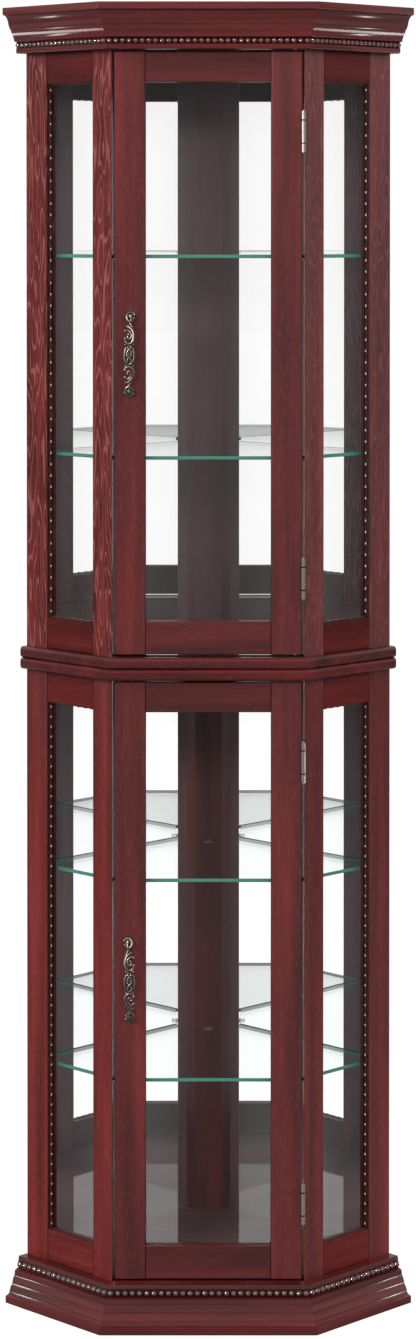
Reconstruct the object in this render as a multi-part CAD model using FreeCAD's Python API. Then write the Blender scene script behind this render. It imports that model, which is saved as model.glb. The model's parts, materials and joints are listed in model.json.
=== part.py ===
import FreeCAD, Part
import math
import os

# A tall five-sided curio cabinet that stands in the corner of a room: two glazed units, one on
# the other, under a moulded crown and on a moulded base. Its two mirrored backs meet at a post
# in the corner, its side panels stand square to the walls, and a door closes each unit.
#
# Millimetres. +Z is up, +Y points into the corner of the room, and +X is to the right of someone
# who faces the doors. The origin is under the middle of the footprint's bounding rectangle.

# ---- overall sizes ----
height = 1829.0              # floor to the top of the crown
waist_height = 896.0         # floor to the underside of the boards between the units
wall_length = 364.8          # each wall plane, from the room's corner to the face of a side panel
side_width = 177.4           # each side panel, from its front arris to the wall

# ---- timber ----
frame_thickness = 18.0       # side panels and doors
board_thickness = 16.0       # floors and ceilings
rail_thickness = 18.0        # the rings of rails in the base and the crown
arris = 1.0                  # chamfer on the edges of stiles and rails
side_front_stile = 40.0
side_rear_stile = 44.0
side_rail = 44.0
door_stile = 43.0
door_top_rail = 41.6
door_bottom_rail = 45.8
post_side = 50.0             # the corner post, along each wall
post_face = 39.0             # the flat that is planed on the post's front corner

# ---- glass, mirrors and backs ----
pane_thickness = 3.2
pane_clearance = 0.3         # on each face of a pane in its groove
groove_depth = 8.0
pane_lap = 7.5               # how far a pane reaches into the groove
shelf_thickness = 5.0
shelf_clearance = 2.0        # from a shelf to the side panels, the mirrors and the post
shelf_door_gap = 3.0         # from the back of a shut door to the front edge of a shelf
shelf_edge = 0.6             # ground chamfer round a shelf
mirror_thickness = 2.0
back_thickness = 2.5
back_cover = 10.0            # how much of a stile or the post the backs lie in
seat = 0.3                   # play round mirrors and backs in their rebates

# ---- base, waist and crown ----
base_height = 61.4
base_projection = 41.0
crown_height = 63.2
crown_projection = 44.0
waist_projection = 12.0
waist_round = 5.0            # rounded edge of each waist board
dowel_radius = 4.0
dowel_reach = 12.0           # into each of the two waist boards
dowel_inset = 40.0           # from the faces of the waist boards

# ---- doors and hinges ----
door_gap = 3.0               # between a door and the side panels
door_floor_gap = 3.5
door_top_gap = 3.1
hinge_height = 56.0
hinge_top_inset = 110.0      # top of a door to the middle of its upper hinge
hinge_bottom_inset = 105.3
knuckle = 12.0               # length of each outer knuckle
knuckle_gap = 0.2
barrel_radius = 3.2
barrel_clearance = 0.4       # from the barrel to the faces behind it
pin_radius = 1.5
pin_play = 0.05
pin_proud = 1.0              # how far a pin stands out of its barrel
leaf_width = 16.0
leaf_gap = 0.2               # between the two closed leaves

# ---- handles, catches and shelf supports ----
handle_length = 118.0
handle_projection = 25.0
handle_width = 16.0
handle_inset = 21.0          # from the door's free edge to the middle of the handle
drop_stand = 8.0             # from the door to the middle of the drop at each end
bow_width = 5.2
bow_thickness = 4.0
bow_cover = 2.0              # how far the bow's face stands in front of a drop's middle
catch_length = 38.0
catch_depth = 13.0
catch_tall = 12.0
strike_thickness = 1.0
strike_tall = 14.0
support_pin = 2.5            # radius
support_bite = 10.0          # depth of the hole for a shelf support
support_width = 12.0
support_reach = 9.0
support_tall = 3.0

root2 = math.sqrt(2)
ORIGIN = FreeCAD.Vector(0, 0, 0)
UP = FreeCAD.Vector(0, 0, 1)
ACROSS = FreeCAD.Vector(1, 0, 0)
BACK = FreeCAD.Vector(0, 1, 0)

# Where the main planes come out in plan.
corner_depth = (wall_length + side_width) / root2      # door plane to the room's corner
half_front = (wall_length - side_width) / root2        # middle of the front to a side panel
face_y = (max(crown_projection, base_projection) - corner_depth) / 2    # the door plane
corner_y = face_y + corner_depth
door_half = half_front - door_gap
groove_width = pane_thickness + 2 * pane_clearance
mirror_front = back_thickness + mirror_thickness       # from a wall plane into the cabinet

upper_floor = waist_height + 2 * board_thickness
upper_ceiling = height - crown_height
units = [
    dict(name="lower", floor=base_height, ceiling=waist_height, shelf_drop=3.4, handle_shift=3.7,
         scroll_side=-1),
    dict(name="upper", floor=upper_floor, ceiling=upper_ceiling, shelf_drop=5.7,
         handle_shift=-0.4, scroll_side=1),
]


# ---- solids ----

def box(x0, x1, y0, y1, z0, z1):
    return Part.makeBox(x1 - x0, y1 - y0, z1 - z0, FreeCAD.Vector(x0, y0, z0))


def prism(outline, bottom, top):
    """An upright prism on a plan outline."""
    corners = [FreeCAD.Vector(x, y, bottom) for x, y in outline]
    return Part.Face(Part.makePolygon(corners + corners[:1])).extrude(UP * (top - bottom))


def rod(radius, start, end):
    """A round rod between two points."""
    start, end = FreeCAD.Vector(*start), FreeCAD.Vector(*end)
    return Part.makeCylinder(radius, (end - start).Length, start, end - start)


def chamfered(shape, size, chosen):
    """The shape with a chamfer on the edges whose direction and middle pass the test."""
    edges = []
    for edge in shape.Edges:
        along = edge.Vertexes[-1].Point - edge.Vertexes[0].Point
        if chosen(along, edge.CenterOfMass):
            edges.append(edge)
    return shape.makeChamfer(size, edges)


def upright(along, middle):
    return abs(along.z) > 0.9 * along.Length


def on_right_side(shape):
    """Place a solid drawn as (along the side panel, into the cabinet, up)."""
    placed = shape.copy()
    placed.rotate(ORIGIN, UP, 45)
    placed.translate(FreeCAD.Vector(half_front, face_y, 0))
    return placed


def on_right_wall(shape):
    """Place a solid drawn as (from the corner along the wall, towards the wall, up)."""
    placed = shape.copy()
    placed.rotate(ORIGIN, UP, -45)
    placed.translate(FreeCAD.Vector(0, corner_y, 0))
    return placed


def on_front(shape):
    """Place a solid drawn as (across, into the cabinet, up)."""
    placed = shape.copy()
    placed.translate(FreeCAD.Vector(0, face_y, 0))
    return placed


def mirrored(shape):
    return shape.mirror(ORIGIN, ACROSS)


def pair(shape):
    """A solid on the right and its twin on the left."""
    return [shape, mirrored(shape)]


def plan(front_out, side_out, wall_in):
    """The five-sided plan: how far it stands out at the front and sides, and in at the walls."""
    reach = wall_length + side_out
    arris_x = reach * root2 - corner_depth - front_out
    tip_x = (reach - wall_in) / root2
    tip_y = corner_y - (reach + wall_in) / root2
    return [(-arris_x, face_y - front_out), (arris_x, face_y - front_out), (tip_x, tip_y),
            (0, corner_y - wall_in * root2), (-tip_x, tip_y)]


def ring(depth, bottom, top):
    """Five mitred rails that follow the plan, one solid for each side."""
    outer = plan(0, 0, 0)
    inner = plan(-depth, -depth, depth)
    rails = []
    for here in range(len(outer)):
        after = (here + 1) % len(outer)
        rails.append(prism([outer[here], outer[after], inner[after], inner[here]], bottom, top))
    return rails


# ---- glazed frames: doors and side panels ----

def glass_groove(edge, inward, bottom, top):
    """The groove for a pane along a stile, open towards the opening."""
    middle = frame_thickness / 2
    sides = sorted((edge, edge + inward * groove_depth))
    return box(sides[0], sides[1], middle - groove_width / 2, middle + groove_width / 2, bottom, top)


def stile(outline, edge, inward, bottom, top):
    """An upright of a frame: its plan outline, and the edge that its pane's groove is cut in."""
    blank = chamfered(prism(outline, bottom, top), arris, upright)
    return blank.cut(glass_groove(edge, inward, bottom, top))


def frame_rail(left, right, bottom, top, window_above):
    """A rail between two stiles, with a groove for the pane and a tongue at each end."""
    blank = chamfered(box(left, right, 0, frame_thickness, bottom, top), arris,
                      lambda along, middle: abs(along.y) < arris)
    low = frame_thickness / 2 - groove_width / 2
    high = low + groove_width
    if window_above:
        groove = box(left, right, low, high, top - groove_depth, top)
        tongue_bottom, tongue_top = bottom, top - groove_depth
    else:
        groove = box(left, right, low, high, bottom, bottom + groove_depth)
        tongue_bottom, tongue_top = bottom + groove_depth, top
    reach = pane_lap
    tongues = [box(left - reach, left + arris, low, high, tongue_bottom, tongue_top),
               box(right - arris, right + reach, low, high, tongue_bottom, tongue_top)]
    return blank.cut(groove).fuse(tongues).removeSplitter()


def pane(left, right, bottom, top):
    """A pane that reaches into the grooves round an opening."""
    front = frame_thickness / 2 - pane_thickness / 2
    return box(left - pane_lap, right + pane_lap, front, front + pane_thickness,
               bottom - pane_lap, top + pane_lap)


def rails_and_pane(left, right, bottom, top, bottom_rail, top_rail):
    rails = [frame_rail(left, right, bottom, bottom + bottom_rail, True),
             frame_rail(left, right, top - top_rail, top, False)]
    return rails, pane(left, right, bottom + bottom_rail, top - top_rail)


# ---- side panels ----

def support_places():
    """Where shelf supports enter a side panel, from its front arris."""
    return [side_front_stile - support_width, side_width - side_rear_stile / 2]


def shelf_heights(unit):
    """Mid-heights of a unit's two shelves, which part it into three nearly equal bays."""
    bay = (unit["ceiling"] - unit["floor"]) / 3
    return [unit["floor"] + count * bay - unit["shelf_drop"] for count in (1, 2)]


def support_height(shelf_height):
    """Middle of a support's pin: its ledge lies under the glass."""
    return shelf_height - shelf_thickness / 2 - support_tall / 2


def side_panel(unit):
    """The right-hand panel's pieces. The front stile is cut along the door's edge."""
    bottom, top = unit["floor"], unit["ceiling"]
    depth = frame_thickness
    left, right = side_front_stile, side_width - side_rear_stile
    front_plan = [(0, 0), (left, 0), (left, depth), (depth, depth)]
    lap = depth - back_cover
    rear_plan = [(right, 0), (side_width, 0), (side_width, depth), (right, depth)]
    rebate = box(side_width - mirror_front, side_width, lap, depth, bottom, top)
    stiles = {"front_stile": stile(front_plan, left, -1, bottom, top),
              "rear_stile": stile(rear_plan, right, 1, bottom, top).cut(rebate)}
    for shelf_height in shelf_heights(unit):
        z = support_height(shelf_height)
        for name, place in zip(stiles, support_places()):
            hole = rod(support_pin, (place, depth, z), (place, depth - support_bite, z))
            stiles[name] = stiles[name].cut(hole)
    panel = {name: [solid] for name, solid in stiles.items()}
    panel["rails"], glass = rails_and_pane(left, right, bottom, top, side_rail, side_rail)
    panel["glass"] = [glass]
    return panel


# ---- corner post, mirrors and backs ----

def corner_post(unit):
    """A square post let over the edges of the mirrors, with its front corner planed flat."""
    side = post_side
    cut = side - post_face / root2
    front = side - back_cover
    outline = [(0, 0), (front, 0), (front, -mirror_front), (side, -mirror_front), (side, -cut),
               (cut, -side), (mirror_front, -side), (mirror_front, -front), (0, -front)]
    post = on_right_wall(prism(outline, unit["floor"], unit["ceiling"]))
    for shelf_height in shelf_heights(unit):
        z = support_height(shelf_height)
        post = post.cut(rod(support_pin, (0, post_front_y(), z),
                            (0, post_front_y() + support_bite, z)))
    return post


def post_front_y():
    return corner_y - (2 * post_side - post_face / root2) / root2


def wall_sheet(front, back, unit):
    """A sheet on the right wall, between two distances from the wall plane."""
    start = post_side - back_cover + seat
    end = wall_length - frame_thickness + back_cover - seat
    return on_right_wall(box(start, end, -front, -back, unit["floor"], unit["ceiling"]))


# ---- shelves and their supports ----

def shelf(shelf_height):
    """A glass shelf that follows the walls and the sides, cut square in front of the post."""
    side_gap = frame_thickness + shelf_clearance
    front_gap = frame_thickness + shelf_door_gap
    outline = plan(-front_gap, -side_gap, mirror_front + shelf_clearance)
    bottom = shelf_height - shelf_thickness / 2
    sheet = prism(outline, bottom, bottom + shelf_thickness)
    back = post_front_y() - shelf_clearance
    sheet = sheet.cut(box(-wall_length, wall_length, back, corner_y, bottom,
                          bottom + shelf_thickness))
    return chamfered(sheet, shelf_edge, lambda along, middle: abs(along.z) < shelf_edge)


def support(shelf_height):
    """A support drawn at the origin: a pin that points back along -Y from the mounting face."""
    bottom = shelf_height - shelf_thickness / 2 - support_tall
    half = support_width / 2
    ledge = box(-half, half, 0, support_reach, bottom, bottom + support_tall)
    z = support_height(shelf_height)
    return ledge.fuse(rod(support_pin, (0, 0, z), (0, -support_bite, z))).removeSplitter()


def shelf_supports(shelf_height):
    """Five supports: two on each side panel and one on the post."""
    solids = []
    for place in support_places():
        one = support(shelf_height)
        one.translate(FreeCAD.Vector(place, frame_thickness, 0))
        solids += pair(on_right_side(one))
    one = support(shelf_height)
    one.rotate(ORIGIN, UP, 180)
    one.translate(FreeCAD.Vector(0, post_front_y(), 0))
    return solids + [one]


# ---- boards and mouldings ----

def board(bottom):
    return prism(plan(0, 0, 0), bottom, bottom + board_thickness)


def waist_board(bottom):
    """A board with rounded edges that stands out past the doors and side panels."""
    out = waist_projection
    blank = prism(plan(out, out, 0), bottom, bottom + board_thickness)
    front_edge = face_y - out
    edges = []
    for edge in blank.Edges:
        middle = edge.CenterOfMass
        along = edge.Vertexes[-1].Point - edge.Vertexes[0].Point
        level = abs(along.z) < waist_round
        at_front = abs(middle.y - front_edge) < waist_round
        beside = abs(middle.x) > half_front and middle.y < face_y + side_width / root2 / 2
        if level and (at_front or beside):
            edges.append(edge)
    return blank.makeFillet(waist_round, edges)


def dowels():
    """Two dowels that keep the upper unit in its place on the lower one."""
    joint = waist_height + board_thickness
    tips = plan(-dowel_inset, -dowel_inset, dowel_inset)[2::2]
    return [rod(dowel_radius, (x, y, joint - dowel_reach), (x, y, joint + dowel_reach))
            for x, y in tips]


# A moulding's profile, from its wide edge to its narrow one. Each stretch ends at a share of the
# projection and a share of the height, and its bulge is a share of the projection: hollow when
# negative. The round stretch is the cord that the beads are carved on, in a sunk band.
crown_profile = [
    (1.000, 0.000, 0), (1.000, 0.155, 0), (0.885, 0.180, 0), (0.755, 0.360, -0.028),
    (0.700, 0.455, 0), (0.620, 0.555, -0.018), (0.575, 0.605, 0), (0.500, 0.735, -0.012),
    (0.390, 0.757, 0), (0.390, 0.877, 0.045), (0.425, 0.893, 0), (0.415, 0.985, 0),
    (0.390, 1.000, 0),
]
base_profile = [
    (1.000, 0.000, 0), (1.000, 0.160, 0), (0.873, 0.186, 0), (0.805, 0.277, -0.018),
    (0.768, 0.342, 0), (0.683, 0.456, -0.022), (0.641, 0.537, 0), (0.585, 0.611, -0.018),
    (0.561, 0.700, 0), (0.400, 0.745, 0), (0.395, 0.895, 0.045), (0.405, 0.920, 0),
    (0.380, 1.000, 0),
]


def moulding_run(profile, projection, wide_edge, narrow_edge, start, end):
    """A straight moulding along X: its back on the plane y = 0 and its face towards -Y."""
    rise = narrow_edge - wide_edge
    first = FreeCAD.Vector(start, 0, wide_edge)
    here = first
    edges = []
    for out, along, bulge in profile:
        there = FreeCAD.Vector(start, -out * projection, wide_edge + along * rise)
        if bulge:
            outward = (there - here).cross(ACROSS).normalize() * math.copysign(1, rise)
            middle = (here + there) / 2 - outward * bulge * projection
            edges.append(Part.Arc(here, middle, there).toShape())
        else:
            edges.append(Part.LineSegment(here, there).toShape())
        here = there
    last = FreeCAD.Vector(start, 0, narrow_edge)
    edges.append(Part.LineSegment(here, last).toShape())
    edges.append(Part.LineSegment(last, first).toShape())
    return Part.Face(Part.Wire(edges)).extrude(ACROSS * (end - start))


def mouldings(profile, projection, wide_edge, narrow_edge):
    """Front, left and right mouldings, mitred where they meet and square at the walls."""
    depth = projection + 1
    splay = depth * math.tan(math.radians(22.5))
    bottom, top = sorted((wide_edge, narrow_edge))
    front_run = moulding_run(profile, projection, wide_edge, narrow_edge,
                             -half_front - splay, half_front + splay)
    front_plan = [(-half_front, 0), (-half_front - splay, -depth), (half_front + splay, -depth),
                  (half_front, 0)]
    side_run = moulding_run(profile, projection, wide_edge, narrow_edge, -splay, side_width)
    side_plan = [(0, 0), (-splay, -depth), (side_width, -depth), (side_width, 0)]
    front = on_front(front_run.common(prism(front_plan, bottom, top)))
    right = on_right_side(side_run.common(prism(side_plan, bottom, top)))
    return {"front": front, "right": right, "left": mirrored(right)}


# ---- hinges ----

axis_x = half_front - door_gap / 2
axis_y = face_y - barrel_radius - barrel_clearance
leaf_thickness = (door_gap - leaf_gap) / 2


def door_span(unit):
    return unit["floor"] + door_floor_gap, unit["ceiling"] - door_top_gap


def hinge_bottoms(unit):
    """Lower ends of a door's two hinges."""
    bottom, top = door_span(unit)
    middles = [bottom + hinge_bottom_inset, top - hinge_top_inset]
    return [middle - hinge_height / 2 for middle in middles]


def hinge_leaf(bottom, leaf_x, knuckles, bore):
    """One leaf with its knuckles, each a (start, end) up the hinge."""
    x0, x1 = leaf_x
    leaf = box(x0, x1, face_y, face_y + leaf_width, bottom, bottom + hinge_height)
    for start, end in knuckles:
        curl = rod(barrel_radius, (axis_x, axis_y, bottom + start), (axis_x, axis_y, bottom + end))
        tab = box(x0, x1, axis_y, face_y, bottom + start, bottom + end)
        leaf = leaf.fuse([curl, tab])
    hole = rod(bore, (axis_x, axis_y, bottom), (axis_x, axis_y, bottom + hinge_height))
    return leaf.cut(hole).removeSplitter()


def frame_leaf(bottom):
    ends = [(0, knuckle), (hinge_height - knuckle, hinge_height)]
    return hinge_leaf(bottom, (half_front - leaf_thickness, half_front), ends, pin_radius)


def door_leaf(bottom):
    middle = [(knuckle + knuckle_gap, hinge_height - knuckle - knuckle_gap)]
    return hinge_leaf(bottom, (door_half, door_half + leaf_thickness), middle,
                      pin_radius + pin_play)


def hinge_pin(bottom):
    top = bottom + hinge_height
    return rod(pin_radius, (axis_x, axis_y, bottom - pin_proud),
               (axis_x, axis_y, top + pin_proud))


# ---- handle ----

def turned(profile, middle):
    """A turned form on an upright axis, from (up, radius) steps."""
    corners = [FreeCAD.Vector(radius, 0, up) for up, radius in profile]
    ends = [FreeCAD.Vector(0, 0, profile[-1][0]), FreeCAD.Vector(0, 0, profile[0][0])]
    outline = corners + ends
    solid = Part.Face(Part.makePolygon(outline + outline[:1])).revolve(ORIGIN, UP, 360)
    solid.translate(middle)
    return solid


def c_scroll(radius, bulge_side):
    """A flat C with a curl at each end, at the origin. It faces -Y and bulges to one side."""
    band = 0.42 * radius
    curl = 0.36 * radius
    sweep = 240
    scroll = Part.makeCylinder(radius, band, ORIGIN, UP, sweep)
    scroll = scroll.cut(Part.makeCylinder(radius - band, band))
    for angle in (0, sweep):
        turn = math.radians(angle)
        place = FreeCAD.Vector(math.cos(turn), math.sin(turn), 0) * (radius - curl)
        scroll = scroll.fuse(Part.makeCylinder(curl, band, place))
    scroll.rotate(ORIGIN, UP, -sweep / 2 if bulge_side > 0 else 180 - sweep / 2)
    scroll.rotate(ORIGIN, ACROSS, 90)
    return scroll


def bow(reach, foot_y, mid_y):
    """The arched bar between the drops, a band that is bent towards the front."""
    side = -bow_width / 2
    edges = []
    for inset in (0, bow_thickness):
        low = FreeCAD.Vector(side, foot_y + inset, -reach)
        high = FreeCAD.Vector(side, foot_y + inset, reach)
        edges.append(Part.Arc(low, FreeCAD.Vector(side, mid_y + inset, 0), high).toShape())
    for end in (-reach, reach):
        front = FreeCAD.Vector(side, foot_y, end)
        edges.append(Part.LineSegment(front, front + BACK * bow_thickness).toShape())
    outline = Part.Wire(Part.__sortEdges__(edges))
    return Part.Face(outline).extrude(ACROSS * bow_width)


def handle(bulge_side):
    """A cast bow pull at the origin: a knot in the middle, a C-scroll and a drop at each end.

    Its feet stand on the plane y = 0 and it faces -Y.
    """
    knot = handle_width / 2
    half = handle_length / 2
    knot_y = knot - handle_projection
    scroll_y = -handle_projection / 2
    knot_profile = [(-0.29 * half, 0.50 * knot), (-0.11 * half, knot), (0.11 * half, knot),
                    (0.29 * half, 0.50 * knot)]
    drop_profile = [(0.72 * half, 0.30 * knot), (0.86 * half, 0.86 * knot),
                    (half, 0.30 * knot)]
    solids = [turned(knot_profile, BACK * knot_y)]
    for side in (-1, 1):
        profile = sorted((side * up, radius) for up, radius in drop_profile)
        solids.append(turned(profile, BACK * -drop_stand))
        foot_z = side * 0.89 * half
        solids.append(rod(0.5 * knot, (0, -drop_stand, foot_z), (0, 0, foot_z)))
        scroll = c_scroll(0.92 * knot, bulge_side)
        scroll.translate(FreeCAD.Vector(0, scroll_y, side * 0.50 * half))
        solids.append(scroll)
    bar = bow(0.86 * half, -drop_stand - bow_cover, knot_y - bow_cover)
    return bar.fuse(solids).removeSplitter()


# ---- doors ----

def catch_span():
    """The catch and its strike plate lie behind the middle of the latch stile."""
    left = -door_half + (door_stile - catch_length) / 2
    return left, left + catch_length


def catch(unit):
    """A magnetic catch that is screwed to the unit's floor."""
    left, right = catch_span()
    front = frame_thickness + strike_thickness + seat
    body = box(left, right, front, front + catch_depth, unit["floor"],
               unit["floor"] + catch_tall)
    return on_front(chamfered(body, arris, upright))


def door(unit):
    """A door's pieces. It closes between the side panels and turns on its right-hand edge."""
    bottom, top = door_span(unit)
    left, right = -door_half + door_stile, door_half - door_stile
    latch_plan = [(-door_half, 0), (left, 0), (left, frame_thickness),
                  (-door_half, frame_thickness)]
    hinge_plan = [(right, 0), (door_half, 0), (door_half, frame_thickness),
                  (right, frame_thickness)]
    rails, glass = rails_and_pane(left, right, bottom, top, door_bottom_rail, door_top_rail)
    pull = handle(unit["scroll_side"])
    pull.translate(FreeCAD.Vector(handle_inset - door_half, 0,
                                  (bottom + top) / 2 + unit["handle_shift"]))
    strike_left, strike_right = catch_span()
    strike = box(strike_left, strike_right, frame_thickness, frame_thickness + strike_thickness,
                 bottom, bottom + strike_tall)
    pieces = {"latch_stile": [stile(latch_plan, left, -1, bottom, top)],
              "hinge_stile": [stile(hinge_plan, right, 1, bottom, top)],
              "rails": rails, "glass": [glass], "handle": [pull], "strike_plate": [strike]}
    placed = {name: [on_front(solid) for solid in solids] for name, solids in pieces.items()}
    placed["hinge_leaves"] = [door_leaf(low) for low in hinge_bottoms(unit)]
    return placed


# ---- the whole cabinet ----

def cabinet():
    nodes = {}
    nodes["plinth_rails"] = ring(rail_thickness, 0, base_height - board_thickness)
    nodes["floor_board"] = [board(base_height - board_thickness)]
    nodes["ceiling_board"] = [board(upper_ceiling)]
    nodes["crown_rails"] = ring(rail_thickness, upper_ceiling + board_thickness, height)
    base = mouldings(base_profile, base_projection, 0, base_height)
    crown = mouldings(crown_profile, crown_projection, height, upper_ceiling)
    for place in ("front", "left", "right"):
        nodes["base_moulding_" + place] = [base[place]]
        nodes["crown_moulding_" + place] = [crown[place]]

    joining = dowels()
    nodes["lower_top_board"] = [waist_board(waist_height).cut(joining)]
    nodes["upper_floor_board"] = [waist_board(waist_height + board_thickness).cut(joining)]
    nodes["joining_dowels"] = joining

    frame_leaves, pins, catches, supports = [], [], [], []
    for unit in units:
        name = unit["name"]
        for piece, solids in side_panel(unit).items():
            right = [on_right_side(solid) for solid in solids]
            nodes[name + "_right_" + piece] = right
            nodes[name + "_left_" + piece] = [mirrored(solid) for solid in right]
        nodes[name + "_corner_post"] = [corner_post(unit)]
        mirror = wall_sheet(mirror_front, back_thickness, unit)
        nodes[name + "_right_mirror"] = [mirror]
        nodes[name + "_left_mirror"] = [mirrored(mirror)]
        nodes[name + "_back_boards"] = pair(wall_sheet(back_thickness, 0, unit))
        for count, shelf_height in enumerate(shelf_heights(unit), start=1):
            nodes["{}_shelf_{}".format(name, count)] = [shelf(shelf_height)]
            supports += shelf_supports(shelf_height)
        for piece, solids in door(unit).items():
            nodes[name + "_door_" + piece] = solids
        frame_leaves += [frame_leaf(low) for low in hinge_bottoms(unit)]
        pins += [hinge_pin(low) for low in hinge_bottoms(unit)]
        catches.append(catch(unit))
    nodes["shelf_supports"] = supports
    nodes["frame_hinge_leaves"] = frame_leaves
    nodes["hinge_pins"] = pins
    nodes["magnetic_catches"] = catches
    return nodes


os.makedirs("parts", exist_ok=True)
for node, solids in cabinet().items():
    shape = solids[0] if len(solids) == 1 else Part.makeCompound(solids)
    shape.exportStep("parts/" + node + ".step")
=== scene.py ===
# %% [markdown]
# # A corner curio cabinet
#
# Two glazed units stand one on the other in the corner of a room, between a crown and a base of
# mitred mouldings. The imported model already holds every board, pane, mirror and hinge at its true
# size and place. This lesson gives each of them its real finish, and models what a maker adds
# last: the carved bead rows, the cast pulls, the glazing strips, the screws and the nails.
#
# The frame is loaded first, because every piece takes its place from it. Blender works in metres
# here, so a length in millimetres is multiplied by MM.

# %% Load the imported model
import json
import math
from functools import partial

import bpy
from mathutils import Matrix, Vector

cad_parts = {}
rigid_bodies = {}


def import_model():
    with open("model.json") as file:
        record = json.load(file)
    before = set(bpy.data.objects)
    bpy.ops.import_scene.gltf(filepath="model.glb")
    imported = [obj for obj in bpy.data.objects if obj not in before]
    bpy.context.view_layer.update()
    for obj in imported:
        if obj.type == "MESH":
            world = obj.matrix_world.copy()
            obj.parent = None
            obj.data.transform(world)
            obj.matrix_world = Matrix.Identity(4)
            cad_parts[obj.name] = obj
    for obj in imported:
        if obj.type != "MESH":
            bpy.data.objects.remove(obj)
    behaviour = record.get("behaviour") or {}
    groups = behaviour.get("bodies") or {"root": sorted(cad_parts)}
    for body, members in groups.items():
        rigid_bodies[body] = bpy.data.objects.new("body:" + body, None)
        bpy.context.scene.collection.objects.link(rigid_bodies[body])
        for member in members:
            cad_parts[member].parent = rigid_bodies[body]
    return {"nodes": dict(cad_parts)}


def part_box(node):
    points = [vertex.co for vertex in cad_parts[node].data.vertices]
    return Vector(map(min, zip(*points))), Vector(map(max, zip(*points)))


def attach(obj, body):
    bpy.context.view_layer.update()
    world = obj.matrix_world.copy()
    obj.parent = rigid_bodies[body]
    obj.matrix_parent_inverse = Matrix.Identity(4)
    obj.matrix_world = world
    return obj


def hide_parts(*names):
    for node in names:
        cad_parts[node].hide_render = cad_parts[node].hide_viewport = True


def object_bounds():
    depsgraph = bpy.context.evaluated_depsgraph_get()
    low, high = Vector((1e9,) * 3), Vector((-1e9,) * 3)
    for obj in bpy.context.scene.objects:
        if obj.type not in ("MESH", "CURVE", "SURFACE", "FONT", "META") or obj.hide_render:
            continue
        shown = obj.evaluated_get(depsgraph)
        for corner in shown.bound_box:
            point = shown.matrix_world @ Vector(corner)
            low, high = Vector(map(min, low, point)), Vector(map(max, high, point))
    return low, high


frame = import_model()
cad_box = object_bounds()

MM = 0.001
UP = Vector((0, 0, 1))
nodes = frame["nodes"]
ROOT2 = math.sqrt(2)
face_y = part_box("upper_door_latch_stile")[0].y     # the plane of the doors' faces
half_front = 132.5 * MM                            # from the middle to a side panel
side_width = 177.4 * MM                            # a side panel, from its front arris to the wall
wall_length = 364.8 * MM                           # a wall, from the corner to a side panel
across = {"front": Vector((1, 0, 0)), "right": Vector((1, 1, 0)) / ROOT2,
          "left": Vector((-1, 1, 0)) / ROOT2}      # along each of the three faces
away = {"front": Vector((0, -1, 0)), "right": Vector((1, -1, 0)) / ROOT2,
        "left": Vector((-1, -1, 0)) / ROOT2}       # and out of them
print("the cabinet is", [round(side / MM, 1) for side in cad_box[1] - cad_box[0]], "mm")

# %% [markdown]
# ## The camera
#
# The cabinet is as tall as a person, so it's looked at from eye height, more than four metres
# away. A camera that looks down at something tall makes its uprights lean. A view camera avoids
# that: it stays almost level, and its lens is shifted down instead. Blender's camera has the same
# shift, as a share of the long side of the picture.

# %% Set up the camera
bpy.ops.object.select_all(action="DESELECT")
eye = (0.0032, -4.690, 1.528)
tilt_down = 1.0
bpy.ops.object.camera_add(location=eye, rotation=(math.radians(90 - tilt_down), 0, 0))
camera = bpy.context.object
camera.name = "camera"
camera.data.lens = 88.24
camera.data.shift_x = -0.0019
camera.data.shift_y = -0.2912
scene = bpy.context.scene
scene.camera = camera
scene.view_settings.view_transform = "Standard"
print("the camera stands", round(-eye[1] + cad_box[0].y, 2), "m in front of the cabinet")

# %% [markdown]
# ## Colours and nodes
#
# A colour picker shows sRGB values, but light adds up in linear ones, so a shader wants linear
# numbers. One function turns a hex colour into them, so colours are written as a chart lists them.
#
# A material is a small tree of nodes. One helper adds any node: it sets the node's options, and
# each input gets a value, a colour, or a link from another node. A new material comes with that
# helper for its own tree, under the short name of add.

# %% Helpers for materials
def linear(hex_colour):
    """The linear RGBA of an sRGB hex colour."""
    shares = [int(hex_colour[i:i + 2], 16) / 255 for i in (1, 3, 5)]
    return [s / 12.92 if s <= 0.04045 else ((s + 0.055) / 1.055) ** 2.4 for s in shares] + [1.0]


def add_node(tree, kind, inputs=(), **options):
    """Adds a node with its options. Inputs come by name, or as a list of those in use.

    An input takes a value, a hex colour, a socket to link from, or a node, which is linked by
    the first of its outputs that is in use.
    """
    node = tree.nodes.new("ShaderNode" + kind)
    for name, value in options.items():
        setattr(node, name, value)
    if isinstance(inputs, dict):
        given = [(node.inputs[name], value) for name, value in inputs.items()]
    else:
        given = zip([socket for socket in node.inputs if socket.enabled], inputs)
    for socket, value in given:
        if isinstance(value, str):
            value = linear(value)
        elif isinstance(value, bpy.types.Node):
            value = next(output for output in value.outputs if output.enabled)
        if isinstance(value, bpy.types.NodeSocket):
            tree.links.new(value, socket)
        else:
            socket.default_value = value
    return node


def new_material(name):
    """An empty material, and the helper that adds nodes to it."""
    material = bpy.data.materials.new(name)
    material.use_nodes = True
    material.node_tree.nodes.clear()
    return material, partial(add_node, material.node_tree)


print("mid grey #808080 is", round(linear("#808080")[0], 3), "in linear light")

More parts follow.
